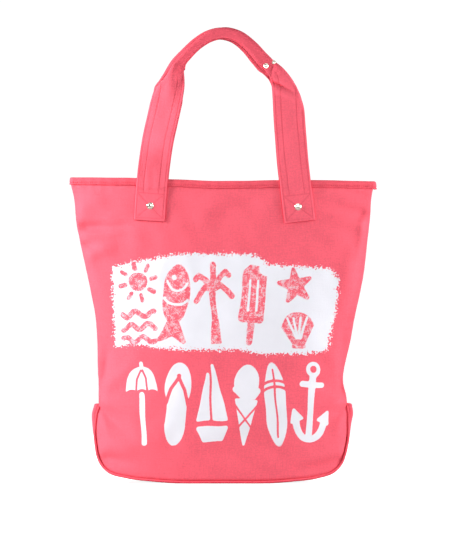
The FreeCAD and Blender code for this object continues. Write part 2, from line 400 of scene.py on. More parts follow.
def lens_half_width(x, z):
    """Half width at which the panels' lens section closes; it opens below the ears."""
    drop = np.clip((EAR_Z - z) / EAR_Z, 0, 1)
    at_ear = edge_half_width(x, np.maximum(z, EAR_Z)) + LENS_MARGIN
    return at_ear + BASE_LENS_SPREAD * drop ** 1.5


def half_depth(x, z):
    """Distance of the panels' outer faces from the middle plane, before any fold."""
    fall = np.clip(1.0 - z / RIM_Z, 0, 1)
    bulge = RIM_BULGE + (BASE_BULGE - RIM_BULGE) * fall ** BULGE_POWER
    return SIDE_HALF_DEPTH + bulge * (1.0 - (np.abs(x) / lens_half_width(x, z)) ** LENS_POWER)


# Folds of the cloth: start, end, half width and height. A negative height is a valley.
FRONT_FOLDS = [
    ((-200, 341), (-118, 343), 7, -5.3), ((-195, 332), (-140, 331), 7, 2.5),
    ((-196, 322), (-168, 314), 5, -5.4), ((-178, 306), (-140, 318), 10, 3.4),
    ((-196, 370), (-130, 380), 16, 2.8), ((-120, 338), (-104, 300), 12, 1.2),
    ((-24, 358), (10, 388), 12, 1.4), ((2, 356), (62, 392), 15, -1.9),
    ((74, 384), (52, 352), 14, 1.6), ((186, 360), (126, 374), 9, -4.4),
    ((202, 392), (192, 352), 13, 1.8), ((205, 340), (150, 352), 10, 3.1),
    ((192, 384), (150, 392), 10, -2.5), ((190, 350), (184, 290), 7, 2.8),
    ((172, 305), (160, 215), 12, 3.4), ((-172, 106), (-120, 60), 7, -4.7),
    ((-172, 112), (-105, 92), 8, 4.0), ((-170, 118), (-118, 160), 10, 3.7),
    ((-168, 112), (-150, 190), 8, -3.7), ((-170, 96), (-148, 56), 6, 3.7),
    ((-158, 50), (-110, 44), 10, 3.7), ((-166, 34), (-118, 26), 7, -4.7),
    ((174, 106), (118, 66), 8, -4.3), ((174, 112), (124, 96), 8, 4.0),
    ((172, 118), (140, 178), 9, 3.7), ((170, 122), (160, 200), 8, -3.4),
    ((170, 96), (150, 60), 7, 3.4), ((166, 46), (104, 26), 9, 4.0),
    ((158, 30), (104, 16), 7, -3.4), ((60, 52), (-20, 60), 22, -1.9),
]
BACK_FOLDS = [
    ((-200, 350), (-96, 322), 12, -4.6), ((-190, 326), (-90, 300), 15, 3.8),
    ((40, 382), (-50, 340), 16, -4.2), ((205, 364), (142, 352), 10, -4.2),
    ((196, 330), (128, 300), 16, 3.5), ((-40, 300), (96, 210), 30, 3.1),
    ((-84, 240), (30, 150), 26, -3.5), ((-172, 108), (-88, 164), 10, 5.0),
    ((-168, 120), (-128, 210), 12, -3.8), ((172, 108), (92, 158), 10, 5.0),
    ((166, 120), (130, 205), 12, -4.2), ((-168, 98), (-80, 76), 10, -3.8),
    ((168, 98), (90, 70), 10, -3.1), ((-130, 40), (-60, 26), 10, 3.1),
    ((70, 30), (140, 44), 10, 3.1),
]
FOLDS = {FRONT: FRONT_FOLDS, BACK: BACK_FOLDS}


def fold_shape(x, z, start, end, width, height):
    """One soft ridge along a line, fading towards its end."""
    distance, share = to_segment(x, z, start, end)
    fade = np.sin(math.pi * (FOLD_TAIL + (1 - FOLD_TAIL) * (1 - share)) * 0.5)
    return height * fade * np.exp(-(distance / width) ** 2)


def folds(x, z, facing):
    total = np.zeros(np.broadcast(x, z).shape)
    for start, end, width, height in FOLDS[facing]:
        total = total + fold_shape(x, z, start, end, width, height)
    total = total + SLOW_WAVES * waves(x, z, 11 + facing, 70, 190)
    return total + QUICK_WAVES * waves(x, z, 31 + facing, 26, 60, 20)


def seam_distance(x, z):
    """Rough distance from the sewn sides, for what happens only near them."""
    return edge_half_width(x, np.maximum(z, EAR_Z)) - np.abs(x)


def panel_depth(x, z, facing):
    """The panels' outer faces with their folds; the seams and the rim hold them still."""
    x = np.asarray(x, float)
    z = np.asarray(z, float)
    free = step_between(seam_distance(x, z), -2, 13) * step_between(RIM_Z - z, 4, 18)
    free = free * step_between(z, 0, 26)
    near_side = np.exp(-np.maximum(seam_distance(x, z), 0) / 9.0) * step_between(z, 95, 125)
    pucker = SIDE_PUCKER * near_side * np.sin(z * 0.31 + 2.3 * np.sin(z * 0.09))
    near_rim = np.exp(-np.maximum(RIM_Z - BINDING_HEIGHT - z, 0) / 5.0)
    pucker = pucker + RIM_PUCKER * near_rim * np.sin(x * 0.42 + 1.1 * np.sin(x * 0.07))
    depth = half_depth(x, z) + folds(x, z, facing) * free + pucker
    gap = np.sqrt((depth - LEAST_DEPTH) ** 2 + LEAST_DEPTH_BLEND)
    return (depth + LEAST_DEPTH + gap) / 2


def on_panel(x, z, facing, out=0.0):
    """Point on a panel and the direction out of it, `out` millimetres off its face."""
    x = np.asarray(x, float)
    z = np.asarray(z, float)
    depth = panel_depth(x, z, facing)
    step = 0.5
    slope_x = (panel_depth(x + step, z, facing) - panel_depth(x - step, z, facing)) / (2 * step)
    slope_z = (panel_depth(x, z + step, facing) - panel_depth(x, z - step, facing)) / (2 * step)
    normal = unit(np.stack([-slope_x, np.full_like(depth, facing), -slope_z], -1))
    point = np.stack([x, facing * depth, z], -1)
    return point + normal * np.asarray(out)[..., None], normal


def panel_grid(u, v):
    """Front-view place of the panels' own grid: u across, v from the base seam to the rim.
    The lines of equal u start round the base corners and fan out to an even spacing."""
    low = seam_line(u)
    top_z = RIM_Z + rim_lift(u * MOUTH_HALF) - 1.0
    z = low[..., 1] + (top_z - low[..., 1]) * v
    side = edge_half_width(u, np.clip(z, EAR_Z, RIM_Z))
    spread = 1 - (1 - np.clip(v / FAN_HEIGHT, 0, 1)) ** 2
    x = low[..., 0] * (1 - spread) + u * side * spread
    return x, z


# ======================================================================= print
# Each shape is a function of place that is positive inside it, in millimetres to its edge.
FAR = 1e9
NO_INK = -99.0


def stroke(x, z, points, radius):
    """Brush line with round ends through points."""
    nearest = np.full(np.broadcast(x, z).shape, FAR)
    for start, end in zip(points, points[1:]):
        nearest = np.minimum(nearest, to_segment(x, z, start, end)[0])
    return radius - nearest


def polygon(x, z, points, grow=0.0):
    """Closed outline through points, its corners rounded by `grow`."""
    closed = points + points[:1]
    inside = np.zeros(np.broadcast(x, z).shape, bool)
    for (ax, az), (bx, bz) in zip(closed, closed[1:]):
        crosses = (az > z) != (bz > z)
        lean = (bx - ax) / (bz - az) if bz != az else 0.0
        inside = inside ^ (crosses & (x < ax + (z - az) * lean))
    distance = -stroke(x, z, closed, 0.0)
    return np.where(inside, distance, -distance) + grow


def disc(x, z, centre, size):
    reach = np.hypot((x - centre[0]) / size[0], (z - centre[1]) / size[1])
    return (1 - reach) * min(size)


def arc(centre, size, start, end, count=16):
    """Points round part of an ellipse, angles in degrees anticlockwise from +X."""
    angles = np.radians(np.linspace(start, end, count))
    return [(centre[0] + size[0] * math.cos(a), centre[1] + size[1] * math.sin(a)) for a in angles]


def joined(*shapes):
    return np.maximum.reduce(shapes)


def without(shape, *holes):
    return np.minimum.reduce([shape] + [-hole for hole in holes])


def sun_and_waves(x, z):
    rays = []
    for k in range(8):
        angle = math.radians(45 * k + 12)
        way = (math.cos(angle), math.sin(angle))
        ray = [(way[0] * reach, 27 + way[1] * reach) for reach in (18, 25)]
        rays.append(stroke(x, z, ray, 3.0))
    crests = []
    for level in (-16, -33, -50):
        crest = [(across, level + 4 * math.sin(across * 0.27 + level)) for across in range(-22, 23, 3)]
        crests.append(stroke(x, z, crest, 3.6))
    return joined(disc(x, z, (0, 27), (12.5, 12.5)), *rays, *crests)


def fish(x, z):
    body = disc(x, z, (0, 12), (18, 40))
    tail = polygon(x, z, [(0, -16), (-17, -50), (0, -42), (17, -50)], 3.0)
    eye = disc(x, z, (-5, 34), (3.2, 3.2))
    gill = stroke(x, z, arc((0, 34), (14, 17), 205, 335), 1.6)
    stripe = stroke(x, z, arc((0, 12), (17, 15), 205, 335), 1.6)
    return without(joined(body, tail), eye, gill, stripe)


def palm(x, z):
    trunk = polygon(x, z, [(-5, -54), (8, -54), (3, -20), (3, 18), (-3, 18), (-3, -20)], 1.2)
    leaves = []
    for x_end, z_end, lift in ((-23, 4, 17), (-22, 32, 12), (2, 50, 5), (23, 36, 12), (24, 8, 17)):
        bend = (x_end * 0.42, (z_end + 17) / 2 + lift * 0.62)
        droop = (x_end * 0.8, z_end + lift * 0.42)
        frond = [(0, 17), bend, droop, (x_end, z_end)]
        leaves.append(stroke(x, z, frond, 3.9))
    return joined(trunk, *leaves)


def ice_pop(x, z):
    bar = polygon(x, z, [(-10, -18), (10, -18), (10, 40), (5, 46), (-5, 46), (-10, 40)], 6.5)
    stick = stroke(x, z, [(0, -24), (0, -50)], 4.2)
    bite = disc(x, z, (17, 50), (12, 11))
    grooves = [stroke(x, z, [(side, -8), (side, 32)], 1.5) for side in (-5.5, 5.5)]
    return joined(without(bar, bite, *grooves), stick)


def star_and_shell(x, z):
    tips = []
    for k in range(10):
        angle = math.radians(96 + 36 * k)
        reach = 22.0 if k % 2 == 0 else 8.5
        tips.append((math.cos(angle) * reach, 29 + math.sin(angle) * reach))
    star = polygon(x, z, tips, 3.0)
    fan = polygon(x, z, arc((0, -33), (21, 25), 18, 162) + [(-6, -49), (6, -49)], 2.0)
    ribs = [stroke(x, z, [(side * 0.2, -42), (side, -14)], 1.4) for side in (-13, -4.5, 4.5, 13)]
    foot = stroke(x, z, [(-6, -52), (6, -52)], 3.0)
    return joined(star, without(fan, *ribs), foot)


def parasol(x, z):
    scallops = [disc(x, z, (side, 13), (8.2, 6)) for side in (-14, 0, 14)]
    dome = np.minimum(disc(x, z, (0, 12), (22, 38)), z - 12)
    ribs = [stroke(x, z, [(0, 47), (side * 0.75, 32), (side, 12)], 1.3) for side in (-8, 8)]
    pole = stroke(x, z, [(0, 12), (0, -53)], 3.4)
    tip = stroke(x, z, [(0, 48), (0, 54)], 2.6)
    return joined(without(dome, *ribs, *scallops), pole, tip)


def sandal(x, z):
    sole = joined(disc(x, z, (0, 24), (17.5, 31)), disc(x, z, (0, -30), (13.5, 25)),
                  polygon(x, z, [(-13, -28), (13, -28), (14, 22), (-14, 22)]))
    thong = [stroke(x, z, [(side * 15, 0), (side * 9, 20), (0, 36)], 2.2) for side in (-1, 1)]
    return without(sole, *thong, disc(x, z, (0, 38), (2.8, 2.8)))


def sailing_boat(x, z):
    hull = polygon(x, z, [(-18, -34), (18, -34), (11, -49), (-12, -49)], 3.0)
    main = polygon(x, z, [(3, 50), (3, -22), (19, -22)], 2.0)
    jib = polygon(x, z, [(-4, 38), (-4, -22), (-18, -22)], 2.0)
    return joined(hull, main, jib)


def ice_cream(x, z):
    scoop = disc(x, z, (0, 30), (16.5, 24))
    drip = stroke(x, z, [(-14, 20), (-6, 13), (2, 19), (9, 12), (15, 20)], 4.2)
    cone = polygon(x, z, [(-13, 6), (13, 6), (0, -52)], 1.8)
    grid = [stroke(x, z, [(-16, 2), (8, -30)], 1.2), stroke(x, z, [(16, 2), (-8, -30)], 1.2)]
    return joined(scoop, drip, without(cone, *grid))


def surfboard(x, z):
    board = disc(x, z, (0, 0), (14.5, 56))
    middle = stroke(x, z, [(0, -44), (0, 46)], 1.3)
    bands = [stroke(x, z, arc((0, level), (16, 7), 20, 160), 1.8) for level in (16, 24)]
    return without(board, middle, *bands)


def anchor(x, z):
    ring = without(disc(x, z, (0, 45), (9.5, 10)), disc(x, z, (0, 45), (4.2, 4.6)))
    shank = stroke(x, z, [(0, 36), (0, -46)], 4.2)
    stock = stroke(x, z, [(-12, 25), (12, 25)], 4.0)
    arms = stroke(x, z, arc((0, -20), (19, 28), 188, 352), 4.6)
    flukes = [polygon(x, z, [(side * 22, -10), (side * 11, -21), (side * 24, -27)], 1.8)
              for side in (-1, 1)]
    return joined(ring, shank, stock, arms, *flukes)


UPPER_ROW = [  # motif, centre across, centre height, tilt in degrees
    (sun_and_waves, -112, 241, 2),
    (fish, -63, 240, -6),
    (palm, -12, 240, 3),
    (ice_pop, 40, 238, -5),
    (star_and_shell, 99, 234, 3),
]
LOWER_ROW = [
    (parasol, -107, 106, 3),
    (sandal, -61, 105, -5),
    (sailing_boat, -15, 107, 2),
    (ice_cream, 31, 104, -3),
    (surfboard, 71, 105, 5),
    (anchor, 118, 106, -4),
]


def motif_row(x, z, row):
    """A row of motifs, drawn with a slightly unsteady hand."""
    shaky_x = x + 0.9 * waves(x, z, 71, 24, 60)
    shaky_z = z + 0.9 * waves(x, z, 72, 24, 60)
    inside = np.full(np.broadcast(x, z).shape, NO_INK)
    for motif, centre_x, centre_z, tilt in row:
        cos, sin = math.cos(math.radians(tilt)), math.sin(math.radians(tilt))
        dx = shaky_x - centre_x
        dz = shaky_z - centre_z
        inside = np.maximum(inside, motif(dx * cos + dz * sin, dz * cos - dx * sin))
    return inside


# The outline of the rough block of paint behind the upper row.
PAINT_BLOCK = [
    (-148, 288), (-112, 298), (-43, 306), (43, 305), (64, 291), (143, 286), (156, 274),
    (152, 228), (140, 176), (103, 171), (50, 172), (23, 177), (-43, 177), (-130, 183),
    (-144, 183),
]


def paint_block(x, z):
    return polygon(x, z + 1.5 * waves(x, z, 81, 40, 120), PAINT_BLOCK)


# ======================================================================= panels
def turned_side(edge, edge_normal, sign, facing):
    """The panel's side edge rolled in to the sewn seam: extra columns beyond the grid."""
    start = np.arctan2(sign * edge_normal[:, 0], facing * edge_normal[:, 1])[:, None]
    turn = start + (SEAM_TURN - start) * np.linspace(0.2, 1.0, 5)
    depth = np.abs(edge[:, 1])[:, None]
    radius = (depth - SEAM_GAP) / (np.cos(start) - math.cos(SEAM_TURN))
    x = edge[:, :1] + sign * radius * (np.sin(turn) - np.sin(start))
    y = facing * (depth - radius * (np.cos(start) - np.cos(turn)))
    z = np.broadcast_to(edge[:, 2:], x.shape)
    normal = np.stack([sign * np.sin(turn), facing * np.cos(turn), 0 * turn], -1)
    return np.stack([x, y, z], -1), normal


def panel_cloth(facing, columns, rows):
    """One of the bag's two faces, from the base seam up into the rim tape."""
    u, v = np.meshgrid(np.linspace(facing, -facing, columns), np.linspace(0, 1, rows))
    x, z = panel_grid(u, v)
    points, normals = on_panel(x, z, facing)
    above_seam = v * RIM_Z
    points = points - normals * (SEAM_TUCK * np.exp(-(above_seam / SEAM_TUCK_REACH) ** 2))[..., None]
    first, first_normals = turned_side(points[:, 0], normals[:, 0], facing, facing)
    last, last_normals = turned_side(points[:, -1], normals[:, -1], -facing, facing)
    points = np.concatenate([first[:, ::-1], points, last], axis=1)
    normals = np.concatenate([first_normals[:, ::-1], normals, last_normals], axis=1)
    x = points[..., 0]
    z = points[..., 2]
    ink = None
    if facing == FRONT:
        ink = {
            "block_ink": paint_block(x, z),
            "cut_out": motif_row(x, z, UPPER_ROW),
            "row_ink": motif_row(x, z, LOWER_ROW),
        }
    return sheet_mesh(named(facing, "cloth"), points, normals, CANVAS, x, z, ink, NO_INK)


# ======================================================================= base
def grid_normals(points):
    """Normals of a grid of points, on the side that its faces are seen from."""
    along_rows = np.gradient(points, axis=0)
    along_columns = np.gradient(points, axis=1)
    return unit(np.cross(along_columns, along_rows))


BASE_COLUMNS = 361
BASE_RIPPLE = 0.35


def base_cloth():
    """The base strip, from ear to ear under the bag, rounded over at each ear."""
    turn = np.radians([18, 36, 54, 72, 86])
    cos, sin = np.cos(turn), np.sin(turn)
    main = np.linspace(-1, 1, BASE_COLUMNS)
    u = np.concatenate([np.full(len(turn), -1.0), main, np.full(len(turn), 1.0)])
    closing = np.concatenate([cos[::-1], np.ones(BASE_COLUMNS), cos])
    rise = np.concatenate([sin[::-1], np.zeros(BASE_COLUMNS), sin]) * EAR_ROUND
    seam = seam_line(u)
    outward = silhouette_normal(u)
    reach = np.linalg.norm(silhouette(u) - seam, axis=-1)
    front = panel_depth(seam[:, 0], seam[:, 1], FRONT) - SEAM_TUCK
    back = panel_depth(seam[:, 0], seam[:, 1], BACK) - SEAM_TUCK
    across = np.sin(np.linspace(-math.pi / 2, math.pi / 2, 41))[None]
    share = (across + 1) / 2
    y = (-front[:, None] * (1 - share) + back[:, None] * share) * closing[:, None]
    power = 2.0 + np.minimum(front, back)[:, None] / 6.0
    swell = np.sqrt(np.maximum(0, 1 - np.abs(across) ** power))
    swell = swell * reach[:, None] * closing[:, None]
    ripple = BASE_RIPPLE * waves(u[:, None] * 330, y * 2, 51, 30, 80) * swell / reach[:, None]
    place = swell + ripple * (1 - np.abs(across) ** 4)
    x = seam[:, 0, None] + outward[:, 0, None] * place
    z = seam[:, 1, None] + outward[:, 1, None] * place + rise[:, None]
    z = np.maximum(z, 0.0)
    points = np.stack([x, y, z], -1)
    length = lengths_along(seam)
    # painted shade: the base strip darker towards its edges beside the base seams, through the seam
    # attribute
    shade = np.abs(across) ** 6 + 0 * y
    return sheet_mesh("base_cloth", points, grid_normals(points), CANVAS, y,
                      length[:, None] + rise[:, None], {"seam": shade})


def seam_frame(count, facing, reach=1.0):
    """Points along a base seam with the direction out of the base in the front view."""
    u = np.linspace(-reach, reach, count)
    seam = seam_line(u)
    outward = silhouette_normal(u)
    y = facing * panel_depth(seam[:, 0], seam[:, 1], facing)
    points = np.stack([seam[:, 0], y, seam[:, 1]], -1)
    return points, np.stack([outward[:, 0], 0 * y, outward[:, 1]], -1)


TUBE_SIDES = 10
# painted shade on the piping, through the seam attribute
PIPING_PAINTED_SHADE = 0.4


def tube_rings(centres, normals, radius):
    """Rings of a tube along centres; normals give the ring's first direction."""
    ahead = unit(np.gradient(centres, axis=0))
    side = unit(np.cross(ahead, normals))
    first = np.cross(side, ahead)
    around = np.arange(TUBE_SIDES) * 2 * math.pi / TUBE_SIDES
    radius = np.broadcast_to(radius, (len(centres),))[:, None, None]
    ring = first[:, None] * np.cos(around)[None, :, None]
    ring = ring + side[:, None] * np.sin(around)[None, :, None]
    return centres[:, None] + ring * radius


def piping_roll(facing):
    """The thin covered roll sewn into a base seam."""
    points, outward = seam_frame(420, facing)
    centres = points + outward * PIPING_OUT
    centres[:, 1] += facing * 0.2
    reach = np.linspace(-1, 1, len(centres))
    taper = np.sqrt(np.clip((1.002 - np.abs(reach)) / 0.008, 0.03, 1))
    radius = PIPING_RADIUS * taper * (1 + 0.05 * waves(reach * 600, 0 * reach, 61 + facing, 8, 20))
    rings = tube_rings(centres, outward, radius)
    rings[..., 2] = np.maximum(rings[..., 2], 0.0)
    around = np.arange(TUBE_SIDES) * PIPING_RADIUS * 2 * math.pi / TUBE_SIDES
    # painted shade: the whole piping darkened
    seam = np.full((1, TUBE_SIDES), PIPING_PAINTED_SHADE)
    return sweep_mesh(named(facing, "piping"), rings, around[None], lengths_along(centres)[:, None],
                      seam=seam)


# Shares of half the width and half the thickness, round the tape's section.
STRIP_PROFILE = [
    (-1, -0.6), (-0.9, -1), (0.9, -1), (1, -0.6), (1, 0.6), (0.9, 1), (-0.9, 1), (-1, 0.6),
]


def seam_tape(name, middle, across, thick, wave):
    """A seam's bound raw edges: a flat tape along a middle line, standing along `across`."""
    places = np.array(STRIP_PROFILE)[None]
    length = lengths_along(middle)
    sway = wave * np.sin(length * 0.16 + 2.0 * np.sin(length * 0.031))
    rings = middle[:, None] + across[:, None] * (places[..., :1] * SEAM_ALLOWANCE / 2)
    rings = rings + thick[:, None] * (places[..., 1:] * SEAM_TAPE / 2)
    rings = rings + (thick * sway[:, None])[:, None] * (places[..., :1] + 1) / 2
    return sweep_mesh(name, rings, places[..., 0] * SEAM_ALLOWANCE / 2, length[:, None])


def base_seam_tape(facing):
    """The tape on a base seam, standing up inside the bag."""
    points, outward = seam_frame(300, facing, 0.97)
    inward = -unit(outward + np.array([0, facing * 0.35, 0]))
    middle = points + inward * (SEAM_ALLOWANCE / 2 + 1.0)
    middle[:, 1] -= facing * (CANVAS + 1.6)
    middle[:, 1] = facing * np.maximum(facing * middle[:, 1], 1.2)
    thick = unit(np.cross(inward, unit(np.gradient(points, axis=0))))
    return seam_tape(named(facing, "base_tape"), middle, inward, thick, 0.5)


def side_seam_tape(sign):
    """The tape on a side seam, just inside the bag's side."""
    z = np.linspace(EAR_Z - 3, RIM_Z - BINDING_HEIGHT, 120)
    edge = sign * edge_half_width(sign, np.maximum(z, EAR_Z))
    middle = np.stack([edge - sign * (1.5 + SEAM_ALLOWANCE / 2), 0 * z, z], -1)
    across = np.tile([-sign, 0.0, 0.0], (len(z), 1))
    thick = np.tile([0.0, 1.0, 0.0], (len(z), 1))
    return seam_tape(SIDE_NAMES[sign] + "_side_tape", middle, across, thick, 0.25)


# ======================================================================= rim
def rim_top(x):
    return RIM_Z + rim_lift(x)


def rim_path(count=260):
    """Closed line round the top edge of the cloth, and the direction out of the bag."""
    swing = np.linspace(0, math.pi, count, endpoint=False)
    x = -np.cos(swing) * MOUTH_HALF
    loops = []
    for facing in (FRONT, BACK):
        across = x if facing == FRONT else -x
        depth = panel_depth(across, 0 * across + RIM_Z - 3, facing)
        end = step_between(MOUTH_HALF - np.abs(across), 0, 2.5)
        y = facing * depth * np.sqrt(end)
        loops.append(np.stack([across + np.sign(across) * 0.8 * (1 - end), y, rim_top(across)], -1))
    path = np.concatenate(loops)
    ahead = unit(np.roll(path, -1, axis=0) - np.roll(path, 1, axis=0))
    normals = unit(np.stack([ahead[:, 1], -ahead[:, 0], 0 * ahead[:, 0]], -1))
    return path, normals


# Out of the cloth, below the rim: the tape folded over the top edge.
RIM_PROFILE = [
    (0.15, -8.9), (1.5, -8.9), (1.9, -8.2), (1.65, -6.9), (1.3, -6.1), (1.6, -5.3), (1.6, -4.4),
    (1.45, -2.6), (1.2, -0.6), (0.7, 0.5), (-0.2, 0.95), (-0.9, 0.95), (-1.7, 0.5),
    (-2.2, -0.8), (-2.25, -3.8), (-1.95, -5.6), (-2.15, -7.2), (-1.9, -8.0), (-1.25, -8.2),
]
RIM_TAPE_OUT = 1.5  # from the cloth to the tape on the outside
RIM_TAPE_IN = 2.15  # and on the inside
RIM_STITCH_OUTSIDE = 6.1  # below the rim
RIM_STITCH_INSIDE = 5.6
PROFILE_HEIGHT = 8.0  # of the CAD tape that the profile was drawn for
KNOB_RADIUS = 4.5
RIM_RIPPLE = 0.06
RIM_WANDER = 0.2


def rim_tape():
    """Tape folded over the top edge all the way round, its ends joined in a small knob."""
    path, normals = rim_path()
    away, below = np.array(RIM_PROFILE).T[:, None]
    length = lengths_along(path)
    hem = RIM_PROFILE[-1][1] * BINDING_HEIGHT / PROFILE_HEIGHT
    knob_place = [RIM_HALF, -1, rim_top(RIM_HALF)]
    knob = np.exp(-np.sum((path - knob_place) ** 2, axis=1) / KNOB_RADIUS ** 2)
    outward = away * (1 + 0.9 * knob[:, None])
    outward = outward + RIM_RIPPLE * np.sin(length * 0.9)[:, None] * (below < -4)
    level = below - 1.2 * knob[:, None] * (below / hem)
    level = level + RIM_WANDER * waves(length, 0 * length, 91, 40, 90)[:, None]
    rings = path[:, None] + normals[:, None] * outward[..., None]
    rings[..., 2] += level
    # seam attribute: the whole tape a little darker, and darker along its sewing line, partly painted
    # shade in the stitch groove
    seam = 0.3 + np.exp(-(below + RIM_STITCH_OUTSIDE) ** 2)
    return sweep_mesh("rim_tape", rings, below, length[:, None], True, seam)


def rim_stitches():
    """The sewing line low on the tape, inside and outside."""
    path, normals = rim_path()
    outer = path + normals * RIM_TAPE_OUT
    inner = path - normals * RIM_TAPE_IN
    outer[:, 2] -= RIM_STITCH_OUTSIDE
    inner[:, 2] -= RIM_STITCH_INSIDE
    return stitch_mesh("rim_stitches", [(outer, normals), (inner, -normals)])


# ======================================================================= straps
# The strap's inner edge from tab to tab: across, height, and how much of the strap's width
# lies in front of the fold. Above 1 the strap is flat.
STRAP_ROUTE = [
    (-76.9, 348.5, 1.13), (-75.3, 376, 1.13), (-73.0, 404, 1.13), (-70.0, 430, 1.13),
    (-65.8, 457, 1.13), (-60.6, 480, 1.09), (-56.8, 497, 1.03), (-52.6, 517, 0.94),
    (-50.9, 531, 0.84), (-51.0, 541, 0.68), (-51.6, 550, 0.50), (-50.5, 559, 0.35),
    (-43.0, 569, 0.30), (-24.5, 586, 0.30), (-12.0, 592.5, 0.33), (3.0, 594.8, 0.37),
    (17.0, 591.5, 0.37), (34.0, 578.5, 0.38), (46.4, 563, 0.42), (56.5, 551, 0.46),
    (63.0, 542, 0.56), (66.0, 531, 0.73), (67.2, 517, 0.89), (68.2, 497, 1.0),
    (69.6, 475, 1.09), (71.0, 457, 1.13), (73.7, 424, 1.13), (76.0, 404, 1.13),
    (79.3, 375, 1.13), (82.8, 346, 1.13),
]
route_at, ROUTE_LENGTH = curve_through(STRAP_ROUTE)
LEAN = (HINGE_Y - GRIP_HALF_DEPTH) / (GRIP_TOP_Z - HINGE_Z)
BACK_SHIFT = -6.2  # of the back grip, coming in between these heights
BACK_SHIFT_LEFT = (507.0, 545.0)
BACK_SHIFT_RIGHT = (531.0, 555.0)
LEFT_TWIST = 0.33  # depth gained across the left leg's width
ROUTE_STEP = 7.0  # each way, to find the route's direction
GATHER = 0.12  # width lost where the strap is folded
FOLD_BEGINS = 1.12  # share in front at which the first fold starts to turn over
TUCK_BEGINS = 0.62  # and the second
STRAP_GAP = 0.15  # between a tab and the panel under it
RIM_STEP = 1.3  # how far the rim tape pushes the strap out
# Start, end, half width and height, in the front view.
STRAP_CREASES = [
    ((66, 537), (94, 522), 2.8, -3.6), ((70, 527), (98, 514), 4.0, 2.4),
    ((69, 567), (64, 541), 2.2, -2.0), ((76, 556), (80, 538), 5.0, 0.9),
    ((-66, 556), (-74, 512), 6.0, 2.4), ((-53, 550), (-57, 500), 8.0, -4.6),
    ((-30, 592), (-10, 601), 3.0, 0.5), ((20, 598), (42, 583), 3.0, 0.5),
]


def bent_section(s, bends):
    """Section of a band that bends backward: where each place `s` along it ends up, given
    bends as (place, half length, angle) in order."""
    starts = [place - half for place, half, angle in bends] + [1e6]
    out = np.minimum(s, starts[0])
    back = 0 * out
    heading = 0 * out
    for (place, half, angle), start, following in zip(bends, starts, starts[1:]):
        curl = np.maximum(angle, 0.004) / (2 * half)
        swept = curl * np.clip(s - start, 0, 2 * half)
        out = out + (np.sin(heading + swept) - np.sin(heading)) / curl
        back = back + (np.cos(heading) - np.cos(heading + swept)) / curl
        heading = heading + swept
        straight = np.clip(s - start - 2 * half, 0, following - start - 2 * half)
        out = out + straight * np.cos(heading)
        back = back + straight * np.sin(heading)
    return out, back


def strap_point(distance, across, facing):
    """Point of the strap's middle layer, `across` from the inner edge to the outer."""
    distance, across = np.broadcast_arrays(np.asarray(distance, float), np.asarray(across, float))
    share = distance / ROUTE_LENGTH
    edge_x, edge_z, in_front = np.moveaxis(route_at(share), -1, 0)
    step = ROUTE_STEP / ROUTE_LENGTH
    ahead = route_at(np.minimum(share + step, 1))
    behind = route_at(np.maximum(share - step, 0))
    along = unit((ahead - behind)[..., :2])
    front = in_front * 2 * STRAP_HALF
    gathered = 1 - GATHER * step_between(0.6 - in_front, 0, 0.3)
    s = (across + STRAP_HALF) * gathered
    fold = math.pi * step_between(FOLD_BEGINS - in_front, 0, 0.18)
    tuck = math.pi * step_between(TUCK_BEGINS - in_front, 0, 0.1)
    out, back = bent_section(s, [(front, FOLD_HALF, fold), (2 * front + 1.0, TUCK_HALF, tuck)])
    middle = FOLD_HALF * 2 / math.pi * fold / math.pi
    x = edge_x - along[..., 1] * out
    z = edge_z + along[..., 0] * out
    free = step_between(edge_z, RIM_Z - 4, RIM_Z + 32)
    over_rim = step_between(z, RIM_Z - 12, RIM_Z - 7)
    resting = panel_depth(x, np.minimum(z, RIM_Z - 3), facing) + STRAP / 2 + STRAP_GAP
    resting = resting + RIM_STEP * over_rim
    flat = step_between(in_front, 0.9, 1.1)
    wobble = 0.8 * waves(distance, across * 2 * flat, 41 + facing, 40, 120)
    twisted = (edge_x < 0) * step_between(z, 420, 458) * step_between(-z, -548, -515)
    wobble = wobble - LEFT_TWIST * across * twisted
    for start, end, width, height in STRAP_CREASES:
        wobble = wobble + fold_shape(x, z, start, end, width, height)
    hanging = HINGE_Y - LEAN * (z - HINGE_Z) + (middle - back) + wobble
    depth = resting * (1 - free) + hanging * free
    if facing == BACK:
        left_high = step_between(z, *BACK_SHIFT_LEFT)
        high = np.where(edge_x < 0, left_high, step_between(z, *BACK_SHIFT_RIGHT))
        x = x + BACK_SHIFT * high
    return np.stack([x, facing * depth, z], -1)


STRAP_EDGE = 1.4  # rounding of the strap's edges
STRAP_FLAT_HALF = 17.8
INNER_FACE_SHIFT = 60  # keeps the inner face's weave apart from the outer's
STITCH_GROOVE = 0.35  # how deep the sewing lines sink in
EDGE_SHADE = 1.2  # painted shade right at the edge
EDGE_PALE_LINE = 0.3  # a paler line just inside it
GRIP_PAINTED_SHADE = 0.8  # painted shade on the folded grip
TAB_STITCH = 3.5  # from the strap's end to the stitched box
BOX_TOP = 36.0  # from the strap's end to the box's top
STITCH_OUTER = 17.7  # half the distance between the outer rows
STITCH_INNER = 10.2  # and between the inner rows
LEG_TOP = 543.0  # height at which the rows of stitches end
STRAP_STITCH_RADIUS = 0.34


def leg_length(way):
    """How far a leg runs up the strap from its tab, before the strap folds into the grip."""
    reach = np.linspace(0, ROUTE_LENGTH / 2, 600)
    along = reach if way > 0 else ROUTE_LENGTH - reach
    return reach[np.argmax(route_at(along / ROUTE_LENGTH)[:, 1] > LEG_TOP)]


LEFT_LEG = leg_length(1)
RIGHT_LEG = leg_length(-1)


def tab_lines(start, way):
    """The stitched box with its cross on one end of the strap, as straight lines."""
    low = start + way * TAB_STITCH
    high = start + way * BOX_TOP
    corners = [(low, -STITCH_OUTER), (low, STITCH_OUTER), (high, STITCH_OUTER), (high, -STITCH_OUTER)]
    return [(corners[first], corners[last]) for first, last in ((0, 1), (3, 2), (0, 2), (1, 3))]


